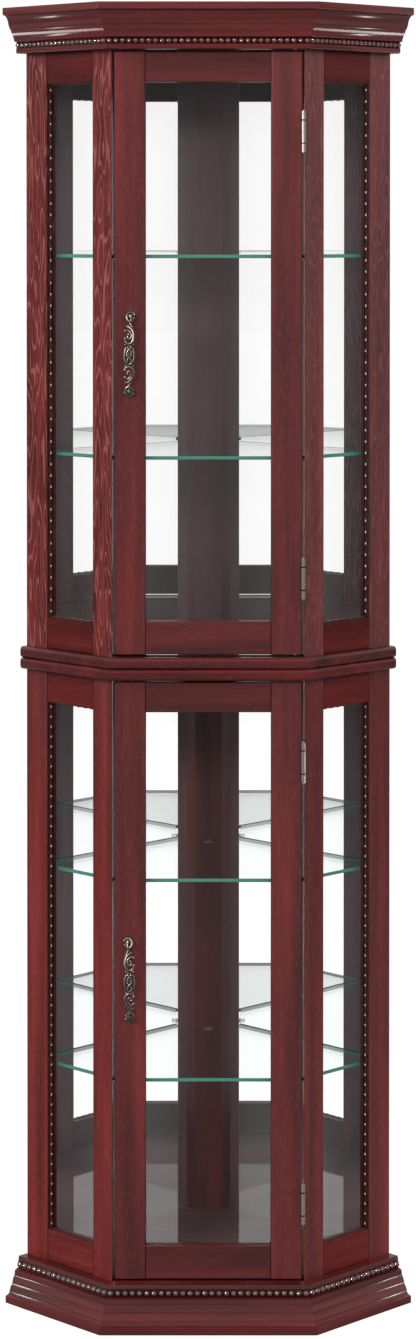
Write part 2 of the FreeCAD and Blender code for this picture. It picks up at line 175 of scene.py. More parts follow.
# %% [markdown]
# ## The room
#
# A catalogue picture of furniture is taken in a white room: a pale floor, a white surround, and
# large soft lamps. The Light Path node tells which kind of ray asks, so the surround can be plain
# white to the camera and the mirrors, and weaker to the soft gloss of lacquer and glass, which
# would look milky otherwise. The floor is pale paint. It glows a little for the rays that look at
# it, so that it meets the white surround without an edge, and it still takes the cabinet's
# shadow.
#
# The large lamps light the wood and leave no reflections in it. The small bright ones do the
# opposite: they add only glints, and light linking lets just the side mouldings, the beads, the
# pulls, the hinges and the door stiles beside them catch those. Two weak lamps near the floor
# light only the side panels of the lower unit, as a pale floor does by day. No lamp shows in a
# mirror: each is dark to a mirrored ray.

# %% Make the white surround
SURROUND_ON_WOOD = 0.85      # what the surround gives to rays that light a matt surface
SURROUND_IN_LACQUER = 0.55   # and what the soft gloss of the lacquer sees of it
WHITE = "#FFFFFF"


def by_ray(add, seen, glossy, other):
    """A strength for each kind of ray. Sharp reflections count as seen."""
    ray = add("LightPath").outputs
    looks = add("Math", [ray["Is Camera Ray"], ray["Is Transmission Ray"]], operation="MAXIMUM")
    looks = add("Math", [looks, ray["Is Singular Ray"]], operation="MAXIMUM")
    return add("Mix", [looks, add("Mix", [ray["Is Glossy Ray"], other, glossy]), seen])


scene.world = bpy.data.worlds.new("white_room")
scene.world.use_nodes = True
scene.world.node_tree.nodes.clear()
add = partial(add_node, scene.world.node_tree)
strength = by_ray(add, 1.0, SURROUND_IN_LACQUER, SURROUND_ON_WOOD)
add("OutputWorld", {"Surface": add("Background", {"Color": WHITE, "Strength": strength})})
print("the surround gives", SURROUND_ON_WOOD, "of its white to the wood")

# %% Lay the floor
FLOOR_SEEN, FLOOR_IN_LACQUER = 0.86, 0.03      # how much the floor glows for a look and a gloss
bpy.ops.mesh.primitive_plane_add(size=80, location=(0, 0, 0))
floor = bpy.context.object
floor.name = "floor"
material, add = new_material("pale_floor_paint")
glow = add("Emission", {"Color": WHITE,
                        "Strength": by_ray(add, FLOOR_SEEN, FLOOR_IN_LACQUER, 0.0)})
paint = add("BsdfDiffuse", {"Color": "#7C7C7C"})
add("OutputMaterial", {"Surface": add("AddShader", [paint, glow])})
floor.data.materials.append(material)
print("the floor is", floor.dimensions.x, "m across")

# %% Hang the lamps
middle, feet = (cad_box[0] + cad_box[1]) / 2, Vector((0, 0, 0.15))      # what the lamps aim at
sparkling = bpy.data.collections.new("sparkling_pieces")     # only these catch the glints
foot_pieces = bpy.data.collections.new("foot_pieces")        # only these see the foot lamps
for name, node in nodes.items():
    if name.startswith(("lower_left", "lower_right")):
        foot_pieces.objects.link(node)
for name, place, width, height, watts, receivers in (
        ("key_lamp", (-1.7, -4.0, 2.5), 1.2, 0.9, 84, None),
        ("front_strip", (0.9, -4.6, 2.5), 2.2, 0.4, 55, None),
        ("left_strip", (-3.3, -0.9, 2.6), 1.8, 0.6, 52, None),
        ("right_strip", (3.3, -0.9, 2.5), 1.8, 0.6, 42, None),
        ("glint_lamp", (-2.4, -4.2, 2.7), 0.45, 0.45, 240, sparkling),
        ("left_glint", (-2.6, 0.65, 0.2), 0.4, 0.4, 9, sparkling),
        ("right_glint", (2.6, 0.65, 0.2), 0.4, 0.4, 9, sparkling),
        ("left_foot_lamp", (-0.65, -0.5, 0.15), 0.3, 0.15, 2.6, foot_pieces),
        ("right_foot_lamp", (0.65, -0.5, 0.15), 0.3, 0.15, 1.2, foot_pieces)):
    glint = receivers is sparkling
    aim = feet if receivers is foot_pieces else middle
    bpy.ops.object.light_add(type="AREA", location=place)
    lamp = bpy.context.object
    lamp.name = name
    lamp.rotation_euler = (aim - Vector(place)).to_track_quat("-Z", "Y").to_euler()
    lamp.data.shape = "RECTANGLE"
    lamp.data.size, lamp.data.size_y = width, height
    lamp.data.energy = watts
    lamp.visible_camera = False
    lamp.visible_diffuse, lamp.visible_glossy = not glint, glint
    lamp.light_linking.receiver_collection = receivers
    lamp.data.use_nodes = True
    lamp.data.node_tree.nodes.clear()
    add = partial(add_node, lamp.data.node_tree)
    ray = add("LightPath").outputs
    unlit = ray["Is Singular Ray"]
    if glint:                        # a glint isn't thrown on: nothing matt is lit by it
        unlit = add("Math", [unlit, ray["Diffuse Depth"]], operation="MAXIMUM")
    add("OutputLight", {"Surface": add("Emission", {"Strength": add("Mix", [unlit, 1.0, 0.0])})})

# %% [markdown]
# ## Mahogany finish
#
# The cabinet is a plain hardwood, stained a deep red brown to look like mahogany, and sprayed
# with a semi-gloss lacquer. Three things make wood look like wood: broad bands of darker and
# lighter growth, fine pores that run along the grain, and a surface that is smooth but not quite
# flat. Each is a noise texture, stretched along the grain.
#
# The Mapping node as a texture mapping turns the pattern first and divides it by a size after
# that, so its scale can be written in millimetres: how long and how wide one figure of the
# pattern is. The real pores are about a quarter of a millimetre wide; they are drawn coarser, so
# that they show from where the camera stands.
#
# Every board of a real frame has its own grain direction, so the finish is made once for each
# direction: upright for the stiles, and level, turned to the face, for rails and mouldings.
#
# Boards differ too, and what sets one apart is laid over the stain: the pointed figure of a
# flat-sawn board, which is a row of waves bent far out of line, and on the upper left stiles its
# pale lines are partly painted sheen; painted shade, a dark band in the sunk profile behind each
# bead row; a fine dark line at each joint of a frame, where it sinks into the end grain, which is
# painted shade where it runs along a pane's edge; and a grey veil, which is painted reflection,
# over the wood inside the cabinet and faintly on some outer parts.

# %% Helpers for patterns
UPRIGHT = (0, math.radians(-90), 0)      # turns the pattern's long axis up
LEVEL = {"front": (0, 0, 0), "right": (0, 0, math.radians(45)), "left": (0, 0, math.radians(-45))}


def coordinates(add, kind="Object"):
    """The three coordinates of a place on the object, or of its normal."""
    return add("SeparateXYZ", [add("TexCoord").outputs[kind]]).outputs


def drawn_out(add, turn, long, wide):
    """Places for a pattern along the grain, with figures so long and wide in millimetres."""
    return add("Mapping", {"Vector": add("TexCoord").outputs["Object"], "Rotation": turn,
                           "Scale": (long * MM, wide * MM, wide * MM)}, vector_type="TEXTURE")


def streaks(add, turn, long, wide, detail, roughness=0.5):
    """A noise that is drawn out along the grain."""
    return add("TexNoise", {"Vector": drawn_out(add, turn, long, wide), "Scale": 1.0,
                            "Detail": detail, "Roughness": roughness})


print("the grain can run upright, or level along", ", ".join(LEVEL))

# %% Mix the mahogany finish
STAIN_DARK, STAIN_MID, STAIN_LIGHT = "#3E1312", "#551B19", "#6B2422"
# The grey here is painted reflection, a veil laid over the wood.
PORE_PALE, PAINTED_VEIL_GREY = "#9A5B58", "#8C878A"
# The first of these is painted shade, in the sunk band behind each bead row; the second darkens
# each joint, and is painted shade where it runs along a pane's edge.
PAINTED_BAND_SHADE, JOINT_AND_EDGE_SHADE = "#150606", "#120505"      # in a profile, and in a joint's end grain
CROWN_BEADS_UP, BASE_BEADS_UP = 1777.4, 50.4         # the middles of the bead rows
GRAIN_ROUGHNESS = 0.6
JOINT_HALF = 0.9                                     # half the width of a joint's line


def mahogany(name, turn, tone=1.0, pores=0.25, roughness=0.3, shine=0.25, figure=(420, 22),
             flame=0.0, painted_veil=0.0, indoors=None, pore_depth=0.06, painted_shade_bands=(), joints=(),
             ior=1.5):
    """The stained and lacquered wood, with its grain turned to a board's direction.

    Flame is how pale the lines of a flat-sawn board's pointed figure are. Painted_veil is how
    much of the wood a grey veil of painted reflection hides. For a board, indoors says how far
    behind the faces of doors and panels the inside begins: the veil is painted only there.
    Painted_shade_bands are heights, with half widths, of painted shade in a sunk profile, and
    joints are the places of joints, from the front arris of a side panel or, below zero, from
    the middle of a door; the dark line of a joint is painted shade where it runs along a pane.
    """
    material, add = new_material(name)
    place = coordinates(add)
    depth = add("Math", [place["Y"], face_y], operation="SUBTRACT")
    aside = add("Math", [place["X"]], operation="ABSOLUTE")
    beyond = add("Math", [aside, half_front], operation="SUBTRACT")

    def on_side_panel(operation):
        """How far along a side panel, by ADD, or into the cabinet from it, by SUBTRACT."""
        both = add("Math", [depth, beyond], operation=operation)
        return add("Math", [both, ROOT2], operation="DIVIDE")

    def grain(long, wide, detail):
        """One size of the wood's grain."""
        return streaks(add, turn, long, wide, detail, GRAIN_ROUGHNESS)

    def colour_over(share, under, over):
        """One colour over another, where a share says so."""
        return add("Mix", [share, under, over], data_type="RGBA")

    bands = add("ValToRGB", [grain(*figure, 4)])
    stops = bands.color_ramp.elements
    stops[0].position, stops[0].color = 0.30, linear(STAIN_DARK)
    stops[1].position, stops[1].color = 0.74, linear(STAIN_LIGHT)
    stops.new(0.52).color = linear(STAIN_MID)
    wood = add("Mix", [1.0, bands, [tone] * 3 + [1.0]], data_type="RGBA", blend_type="MULTIPLY")
    pore = add("MapRange", {"Value": grain(11, 0.9, 3), "From Min": 0.56, "From Max": 0.72,
                            "To Max": pores})
    wood = colour_over(pore, wood, PORE_PALE)
    if flame:
        rings = add("TexWave", {"Vector": drawn_out(add, turn, 150, 17), "Scale": 0.314,
                                "Distortion": 30.0, "Detail": 1.0, "Detail Scale": 3.2},
                    bands_direction="X")
        line = add("MapRange", {"Value": rings.outputs["Fac"], "From Min": 0.8, "To Max": flame})
        wood = colour_over(line, wood, PORE_PALE)
    dull = add("MapRange", {"Value": grain(60, 5, 2), "To Min": roughness - 0.04,
                            "To Max": roughness + 0.04})
    # Painted shade: a dark band in the sunk profile behind each bead row, where the gloss is dulled
    # too.
    for band, half in painted_shade_bands:
        inside = add("Math", [place["Z"], band * MM, half * MM], operation="COMPARE")
        wood = colour_over(inside, wood, PAINTED_BAND_SHADE)
        dull = add("Mix", [inside, dull, 0.85])
    # A dark line at each joint of a frame; where it runs along a pane's edge, it is painted shade.
    for joint in joints:
        along = aside if joint < 0 else on_side_panel("ADD")
        line = add("Math", [along, abs(joint) * MM, JOINT_HALF * MM], operation="COMPARE")
        wood = colour_over(add("Math", [line, 0.7], operation="MULTIPLY"), wood, JOINT_AND_EDGE_SHADE)
    # Painted reflection: a grey veil over the wood stands in for reflected light. A board gets it
    # only inside the cabinet, where its roughness changes too; any other piece gets it all over.
    if indoors is not None:
        into = add("Math", [depth, on_side_panel("SUBTRACT")], operation="MINIMUM")
        inside = add("Math", [into, indoors * MM], operation="GREATER_THAN")
        covered = add("Math", [into, -1 * MM], operation="GREATER_THAN")
        wood = colour_over(add("Math", [inside, painted_veil], operation="MULTIPLY"), wood, PAINTED_VEIL_GREY)
        edge = add("Math", [covered, 0.65, 0.22], operation="MULTIPLY_ADD")
        dull = add("Mix", [inside, edge, dull])
    elif painted_veil:
        wood = colour_over(painted_veil, wood, PAINTED_VEIL_GREY)
    surface = {"Base Color": wood, "Roughness": dull, "IOR": ior, "Specular IOR Level": shine}
    if pore_depth:
        surface["Normal"] = add("Bump", {"Strength": 0.05, "Distance": pore_depth * MM,
                                         "Height": grain(14, 1.1, 3)})
    add("OutputMaterial", {"Surface": add("BsdfPrincipled", surface)})
    return material


print("the stain runs from", STAIN_DARK, "to", STAIN_LIGHT)

# %% Mix one finish for each kind of board
DOOR_JOINT, PANEL_JOINTS = (-86.5,), (40.0, 133.4)
door_stile_finish = mahogany("mahogany_door_stile", UPRIGHT, painted_veil=0.03, joints=DOOR_JOINT)
post_finish = {
    "upper": mahogany("mahogany_upper_post", UPRIGHT, tone=0.9, shine=0.2, painted_veil=0.4),
    "lower": mahogany("mahogany_lower_post", UPRIGHT, tone=0.95, shine=0.2, painted_veil=0.08)}
stile_finish = {
    # The upper left stiles' pale pores and pointed figure are grain, and partly painted sheen for
    # the light that the left side catches.
    ("upper", "left"): mahogany("mahogany_figured_stile", UPRIGHT, pores=0.5, figure=(130, 9),
                                flame=0.5, joints=PANEL_JOINTS),
    ("lower", "left"): mahogany("mahogany_warm_stile", UPRIGHT, joints=PANEL_JOINTS),
    ("upper", "right"): mahogany("mahogany_speckled_stile", UPRIGHT, tone=0.92, pores=0.5,
                                 shine=0.5, flame=0.18, painted_veil=0.03, joints=PANEL_JOINTS),
    ("lower", "right"): mahogany("mahogany_stile", UPRIGHT, tone=0.92, pores=0.35, shine=0.5,
                                 joints=PANEL_JOINTS)}
level_finish = {side: mahogany("mahogany_rail_" + side, turn, tone=0.75, pores=0.15, shine=0.15,
                               painted_veil=0.04 if side == "front" else 0.0)
                for side, turn in LEVEL.items()}
moulding_finish = {side: mahogany("mahogany_moulding_" + side, turn, tone=0.9, shine=0.5,
                                  roughness=0.2, pores=0.12,
                                  painted_shade_bands=((CROWN_BEADS_UP, 4.4), (BASE_BEADS_UP, 5.0)))
                   for side, turn in LEVEL.items()}
board_finish = {node: mahogany("mahogany_" + name, LEVEL["front"], tone=tone, roughness=0.05,
                               shine=shine, painted_veil=painted_veil, indoors=indoors, pore_depth=0)
                for node, name, tone, shine, painted_veil, indoors in (
                    ("floor_board", "lower_floor", 0.75, 0.18, 0.25, 22),
                    ("upper_floor_board", "upper_floor", 0.6, 0.5, 0.25, 22),
                    ("lower_top_board", "top_board", 0.85, 0.35, 0.2, 22),
                    ("ceiling_board", "ceiling", 0.75, 0.5, 0.7, 70))}
bead_finish = mahogany("mahogany_beads", LEVEL["front"], tone=0.8, roughness=0.12, shine=1.0,
                       pores=0, pore_depth=0, ior=1.8)
print("boards with a finish of their own:", ", ".join(board_finish))

# %% [markdown]
# ## Unfinished wood and hardboard
#
# What nobody sees is left plain. The rails inside the base and the crown are poplar, pale and
# sawn; the dowels are beech; and the backs are hardboard, which is wood fibre pressed into a
# brown sheet. All three are matt, so one recipe serves them: two close colours mixed by a noise
# that is as long as the fibres are, over a rough surface.

# %% Mix the plain woods
def plain_wood(name, dark, pale, turn, long, wide, roughness):
    """Bare wood or fibre board: two close colours, mixed along the fibres."""
    material, add = new_material(name)
    fibres = streaks(add, turn, long, wide, 6)
    colour = add("Mix", [fibres, dark, pale], data_type="RGBA")
    bump = add("Bump", {"Strength": 0.4, "Distance": 0.3 * MM, "Height": fibres})
    add("OutputMaterial", {"Surface": add("BsdfPrincipled", {
        "Base Color": colour, "Roughness": roughness, "IOR": 1.45, "Normal": bump})})
    return material


poplar = plain_wood("sawn_poplar", "#A88B62", "#D8C39A", LEVEL["front"], 90, 2.5, 0.7)
beech = plain_wood("turned_beech", "#B98F66", "#D9B48A", UPRIGHT, 12, 0.8, 0.6)
hardboard = plain_wood("pressed_hardboard", "#5E412A", "#8A6744", UPRIGHT, 3, 2, 0.75)
print("plain woods:", poplar.name, beech.name, hardboard.name)

# %% [markdown]
# ## Glass and mirrors
#
# A pane is seen twice: as what lies behind it, and as what it mirrors. The share that it mirrors
# is about a thirtieth when it's looked at squarely, and rises to all of it at a grazing angle.
# Schlick's rule gives that curve: a small share plus the rest times the fifth power of how far
# the surface is turned away. Layer Weight's Facing is that turn.
#
# A thin flat pane hardly bends light, so a Transparent shader stands for what passes. It also
# lets the lamps through to the shelves, where a refracting glass would leave them in the dark.
#
# Several panes stand one behind another here, and each of them is crossed twice more on the way
# back from the mirrors. Light may therefore pass more clear surfaces than the usual eight.
#
# A shelf is the same glass, but its ground edge is green: light that travels along the inside of
# the sheet comes out there, and iron in the glass has taken the red out of it. The edge is told
# from the faces by its normal, which isn't vertical. Only the short cut at the post stays clear.
#
# A mirror is a sheet with silver behind it, so here it's a metal without a colour. A large thin
# one is never quite flat between its edges. Its normal leans a little, more near the post than at
# the side, and that slight bow widens what it mirrors.

# %% Make the glass and the mirror
scene.cycles.transparent_max_bounces = 48
SQUARE_ON = 0.01        # what one surface mirrors of a ray that meets it squarely
BOW_INSIDE, BOW_OUTSIDE = 0.0138, -0.002   # how far a mirror's faces turn, near each upright edge
MIRROR_FROM, MIRROR_TO = 88, 185           # and how far aside those edges are, in millimetres


def clear_faces(add, tint):
    """A clear surface that mirrors more as it turns away."""
    turn = add("LayerWeight", {"Blend": 0.5}).outputs["Facing"]
    share = add("MapRange", {"Value": add("Math", [turn, 5.0], operation="POWER"),
                             "To Min": SQUARE_ON})
    return add("MixShader", [share, add("BsdfTransparent", {"Color": tint}),
                             add("BsdfGlossy", {"Color": WHITE, "Roughness": 0.03})])


pane_glass, add = new_material("float_glass")
add("OutputMaterial", {"Surface": clear_faces(add, WHITE)})

shelf_glass, add = new_material("float_glass_ground_edge")
normal = coordinates(add, "Normal")
upward = add("Math", [normal["Z"]], operation="ABSOLUTE")
sideways = add("Math", [normal["X"]], operation="ABSOLUTE")
not_side = add("Math", [sideways, 0.3], operation="LESS_THAN")
rear = add("Math", [coordinates(add)["Y"], 0.0], operation="GREATER_THAN")
rear_cut = add("Math", [not_side, rear], operation="MULTIPLY")
clear = add("Math", [upward, rear_cut], operation="MAXIMUM")
on_edge = add("MapRange", {"Value": clear, "From Min": 0.95, "From Max": 0.85})
edge = add("BsdfPrincipled", {"Base Color": "#3F7D6C", "Roughness": 0.25, "IOR": 1.52})
add("OutputMaterial", {"Surface": add("MixShader", [on_edge, clear_faces(add, "#FBFEFD"), edge])})

silvering, add = new_material("silvered_mirror")
from_corner = add("Math", [coordinates(add)["X"]], operation="ABSOLUTE")
bow = add("MapRange", [from_corner, MIRROR_FROM * MM, MIRROR_TO * MM, BOW_INSIDE, BOW_OUTSIDE])
leant = add("VectorMath", [add("NewGeometry").outputs["Normal"], add("CombineXYZ", {"Y": bow})],
            operation="ADD")
leant = add("VectorMath", [leant], operation="NORMALIZE")
add("OutputMaterial", {"Surface": add("BsdfPrincipled", {
    "Base Color": WHITE, "Metallic": 0.95, "Roughness": 0.0, "Normal": leant})})
print("glass mirrors", SQUARE_ON, "of what meets it squarely")

# %% [markdown]
# ## Metals and plastics
#
# The pulls are a zinc alloy, cast, plated, and darkened to look like old pewter: the patina stays
# black in the hollows and is rubbed off the high places. The Geometry node's Pointiness knows
# high from hollow on a dense mesh. Hinges and strike plates are nickel-plated steel, drawn
# through rollers, so they have fine brush lines, and the metal is coloured dark in a narrow ring
# at each joint of a hinge's barrel. The catches are moulded ABS, the shelf supports clear
# polycarbonate, and the strips that hold the side panes brown vinyl with cream pips.

# %% Make the metals and plastics
pewter, add = new_material("antique_pewter_plate")
high = add("MapRange", {"Value": add("NewGeometry").outputs["Pointiness"], "From Min": 0.48,
                        "From Max": 0.6})
colour = add("Mix", [high, "#0B0A08", "#D6CFBF"], data_type="RGBA")
dull = add("MapRange", {"Value": high, "To Min": 0.45, "To Max": 0.16})
add("OutputMaterial", {"Surface": add("BsdfPrincipled", {
    "Base Color": colour, "Metallic": 1.0, "Roughness": dull})})

HINGE_HEIGHTS = (170.2, 782.9, 1036.8, 1652.7)   # the middles of the four hinges
KNUCKLE_JOINT = 15.9                             # from there to the joints between the knuckles
nickel, add = new_material("nickel_plated_steel")
dull = add("MapRange", {"Value": streaks(add, UPRIGHT, 20, 0.3, 2), "To Min": 0.15,
                        "To Max": 0.32})
height = coordinates(add)["Z"]
metal = "#BDB8AF"
# The metal is coloured dark in a narrow ring at each joint between the knuckles of a hinge.
for hinge_up in HINGE_HEIGHTS:
    for joint in (-KNUCKLE_JOINT, KNUCKLE_JOINT):
        knuckle_ring = add("Math", [height, (hinge_up + joint) * MM, 0.9 * MM], operation="COMPARE")
        metal = add("Mix", [knuckle_ring, metal, "#2A2622"], data_type="RGBA")
add("OutputMaterial", {"Surface": add("BsdfPrincipled", {
    "Base Color": metal, "Metallic": 1.0, "Roughness": dull})})


def moulded(name, hex_colour, roughness, clear=0.0):
    """A moulded plastic with the faint orange-peel texture of its mould."""
    material, add = new_material(name)
    peel = add("TexNoise", {"Vector": add("TexCoord").outputs["Object"], "Scale": 1 / (1.5 * MM)})
    dull = add("MapRange", {"Value": peel, "To Min": roughness, "To Max": roughness + 0.1})
    bump = add("Bump", {"Strength": 0.2, "Distance": 0.05 * MM, "Height": peel})
    add("OutputMaterial", {"Surface": add("BsdfPrincipled", {
        "Base Color": hex_colour, "Roughness": dull, "IOR": 1.55, "Transmission Weight": clear,
        "Normal": bump})})
    return material


brown_abs = moulded("moulded_abs_brown", "#3A2A22", 0.35)
clear_support = moulded("moulded_polycarbonate_clear", "#C9D2D0", 0.15, 0.6)
strip_vinyl = moulded("extruded_vinyl_brown", "#3A241E", 0.4)
pip_vinyl = moulded("moulded_vinyl_cream", "#C9BCAC", 0.2)
print("metals:", pewter.name, nickel.name)

# %% [markdown]
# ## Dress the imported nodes
#
# Each node came with the name of its finish, and the node's own name says how its grain runs:
# stiles and posts are upright, and rails, mouldings and boards lie level along their face. One
# small function picks the material, and it goes into the object's slot. The meshes themselves
# stay as they are.

# %% Give every node its finish
def wood_finish(name):
    """The mahogany finish for a node, by the way its grain runs."""
    side = next((s for s in ("left", "right") if s in name), "front")
    unit = name.split("_")[0]
    if "moulding" in name:
        return moulding_finish[side]
    if "post" in name:
        return post_finish[unit]
    if "stile" in name:
        return stile_finish.get((unit, side), door_stile_finish)
    return level_finish[side] if "rails" in name else board_finish[name]


finishes = {
    "carcass_wood": poplar, "bare_wood": beech, "back_board": hardboard,
    "clear_glass": pane_glass, "shelf_glass": shelf_glass, "mirror": silvering,
    "antique_pewter": pewter, "nickel_plate": nickel, "catch_plastic": brown_abs,
    "support_plastic": clear_support,
}
for name, node in nodes.items():
    for slot in node.material_slots:
        packed = slot.material.name
        if packed in finishes or packed == "mahogany_wood":
            slot.material = finishes.get(packed) or wood_finish(name)
print(len({n.material_slots[0].material.name for n in nodes.values()}), "finishes are in use")

# %% [markdown]
# ## Softened edges
#
# A joiner takes the sharpness off every edge with a pass of sandpaper, and lacquer rounds it a
# little more. Such an edge turns through all the directions between its two faces, so some line
# along it always mirrors a lamp or the white room: that thin bright line is how the eye reads a
# moulding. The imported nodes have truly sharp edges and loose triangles. So a Weld modifier joins
# the triangles, a planar Decimate modifier makes whole faces of them, and a Bevel modifier rounds
# only those edges that turn by more than 30 degrees.

# %% Round the edges of the woodwork
EDGE_ROUND = {"moulding": 0.5 * MM, "frame": 0.8 * MM}


def soften(piece, width):
    """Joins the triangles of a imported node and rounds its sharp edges."""
    weld = piece.modifiers.new("joined_faces", "WELD")
    weld.merge_threshold = 0.001 * MM
    flat = piece.modifiers.new("flat_faces", "DECIMATE")
    flat.decimate_type, flat.angle_limit = "DISSOLVE", math.radians(0.5)
    bevel = piece.modifiers.new("sanded_edges", "BEVEL")
    bevel.width, bevel.segments = width, 2
    bevel.limit_method, bevel.angle_limit = "ANGLE", math.radians(30)
    bevel.harden_normals = True


wooden = [node for node in nodes.values() if "mahogany" in node.material_slots[0].material.name]
for node in wooden:
    soften(node, EDGE_ROUND["moulding" if "moulding" in node.name else "frame"])
print(len(wooden), "wooden nodes have rounded edges")

# %% [markdown]
# ## The bead rows
#
# A row of half-round beads runs along the crown and the base. On the real cabinet it's a strip
# that comes pressed from the wood by the metre and is glued into a sunk band. A bead is modelled
# once, as a ball that is cut in half by the plane of its band and closed, and an Array modifier
# sets the rest of the row beside it.
#
# The rows on the two side mouldings run square to the walls, at 45 degrees to the front. A
# direction along the moulding and one out of it, worked out for each place, serve all six rows.

# %% Helpers for shapes
def start_from(add_primitive, **options):
    """Adds a primitive with nothing else selected, and returns its object."""
    bpy.ops.object.select_all(action="DESELECT")
    add_primitive(**options)
    return bpy.context.object


def edit_all(operator, **options):
    """Runs one operator in edit mode, on the whole active mesh."""
    bpy.ops.object.mode_set(mode="EDIT")
    bpy.ops.mesh.select_all(action="SELECT")
    operator(**options)
    bpy.ops.object.mode_set(mode="OBJECT")


def repeat(piece, count, step):
    """Makes a row of a piece, one step apart."""
    row = piece.modifiers.new("row", "ARRAY")
    row.count = count
    row.use_relative_offset, row.use_constant_offset = False, True
    row.constant_offset_displace = step
    bpy.ops.object.modifier_apply(modifier=row.name)


def place_in(obj_name, body, finish):
    piece = bpy.context.object
    piece.name = piece.data.name = obj_name
    bpy.ops.object.transform_apply(location=True, rotation=True, scale=True)
    if finish:
        piece.data.materials.clear()
        piece.data.materials.append(finish)
    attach(piece, body)
    return piece


print("pieces are made beside", len(nodes), "packed nodes")

# %% Model the bead rows
MITRE = math.tan(math.radians(22.5))       # how much longer a mitred row gets as it stands out


def bead_row(name, start, along, outward, count, pitch, tall):
    """A row of half beads on a band. Its first bead is half a pitch from the start."""
    bead = start_from(bpy.ops.mesh.primitive_uv_sphere_add, segments=12, ring_count=8,
                      radius=0.5, location=start + along * pitch / 2)
    bead.scale = (pitch * 0.9, tall * 1.05, tall)
    bead.rotation_euler = (0, 0, math.atan2(along.y, along.x))
    bpy.ops.object.transform_apply(location=False, rotation=True, scale=True)
    edit_all(bpy.ops.mesh.bisect, plane_co=bead.location - outward * tall * 0.2,
             plane_no=outward, use_fill=True, clear_inner=True)
    repeat(bead, count, along * pitch)
    bpy.ops.object.shade_smooth_by_angle(angle=math.radians(40))
    place_in(name, "cabinet", bead_finish)


for level, up, band, tall, counts in (
        ("crown", CROWN_BEADS_UP, 18.4, 7.4, {"front": 31, "left": 21, "right": 21}),
        ("base", BASE_BEADS_UP, 17.4, 8.6, {"front": 28, "left": 18, "right": 18})):
    for side, count in counts.items():
        corner = Vector((half_front * (-1 if side != "right" else 1), face_y, up * MM))
        out, cap = band * MM, band * MM * MITRE
        length = 2 * (half_front + cap) if side == "front" else side_width + cap
        bead_row(level + "_beads_" + side, corner + away[side] * out - across[side] * cap,
                 across[side], away[side], count, length / count, tall * MM)
print("beads are", round(length / count / MM, 2), "mm apart on the sides of the base")

# %% [markdown]
# ## The pulls
#
# Each door has an antique bow pull, cast from a zinc alloy. Leaves and C-scrolls grow out of a
# curled ball at each end and meet at a knot of crossed strands in the middle. The founder's
# pattern is carved from round strands, so it's modelled in the same way: a small disc is extruded
# from point to point along a scroll, and turned and resized on the way, and balls close the ends.
#
# All strands are then joined, and a Remesh modifier melts them into one skin, as metal runs
# together in the mould. It works on small cubes, under half a millimetre wide. A Smooth modifier
# takes the steps out afterwards, which leaves the soft edges of a casting.
#
# Places are in millimetres from the middle of the pull: across, up, and out from the arch that
# the pull makes in front of its door.

# %% Helpers for cast strands
RING = 10                    # corners of the disc that draws a strand


def arch(up):
    """How far the middle of the casting stands out from the door at a height."""
    return 16.5 - 8.0 * (up / 51) ** 2


def cast_point(across_by, up, raised=0.0):
    """A place on the arch, in metres from the pull's middle on the door."""
    return Vector((across_by, -arch(up) - raised, up)) * MM


def rounded(points, steps=4):
    """Fills in a path with a Catmull-Rom curve, so that it turns smoothly."""
    path = []
    ends = [points[0]] + points + [points[-1]]
    for a, b, c, d in zip(ends, ends[1:], ends[2:], ends[3:]):
        for step in range(steps):
            t = step / steps
            path.append([0.5 * (2 * q + (r - p) * t + (2 * p - 5 * q + 4 * r - s) * t ** 2
                                + (3 * q - p - 3 * r + s) * t ** 3)
                         for p, q, r, s in zip(a, b, c, d)])
    return path + [points[-1]]


def strand(points, raised=0.0):
    """Draws a disc along (across, up, radius) points and returns the new object."""
    path = rounded([list(point) for point in points])
    places = [cast_point(x, up, raised) for x, up, _ in path]
    radii = [radius for _, _, radius in path]
    steps = [b - a for a, b in zip(places, places[1:])]
    turns = [math.atan2(step.x, step.z) for step in steps]
    line = start_from(bpy.ops.mesh.primitive_circle_add, vertices=RING, radius=radii[0] * MM,
                      fill_type="NGON", location=places[0], rotation=(0, turns[0], 0))
    bpy.ops.object.mode_set(mode="EDIT")
    for k, step in enumerate(steps):
        bpy.ops.mesh.extrude_region_move(TRANSFORM_OT_translate={"value": step})
        bpy.ops.transform.resize(value=[radii[k + 1] / radii[k]] * 3,
                                 center_override=places[k + 1])
        if k + 1 < len(steps):
            bend = (turns[k + 1] - turns[k] + math.pi) % (2 * math.pi) - math.pi
            bpy.ops.transform.rotate(value=-bend, orient_axis="Y", center_override=places[k + 1])
    bpy.ops.object.mode_set(mode="OBJECT")
    return line


def ball(across_by, up, radius, raised=0.0, squash=(1, 1, 1)):
    """A ball that ends a strand or fills a hollow."""
    round_end = start_from(bpy.ops.mesh.primitive_uv_sphere_add, segments=16, ring_count=10,
                           radius=radius * MM, location=cast_point(across_by, up, raised))
    round_end.scale = squash
    return round_end


def own_copy(piece):
    """A copy of a piece, with its own mesh."""
    twin = piece.copy()
    twin.data = piece.data.copy()
    bpy.context.collection.objects.link(twin)
    return twin


def join_pieces(pieces):
    """Settles pieces in their meshes, joins them, and makes the result the active object."""
    bpy.ops.object.select_all(action="DESELECT")
    for piece in pieces:
        piece.select_set(True)
    bpy.context.view_layer.objects.active = pieces[0]
    bpy.ops.object.transform_apply(location=True, rotation=True, scale=True)
    if len(pieces) > 1:
        bpy.ops.object.join()
    return bpy.context.object


print("the pull's arch stands", arch(0), "mm out in the middle")

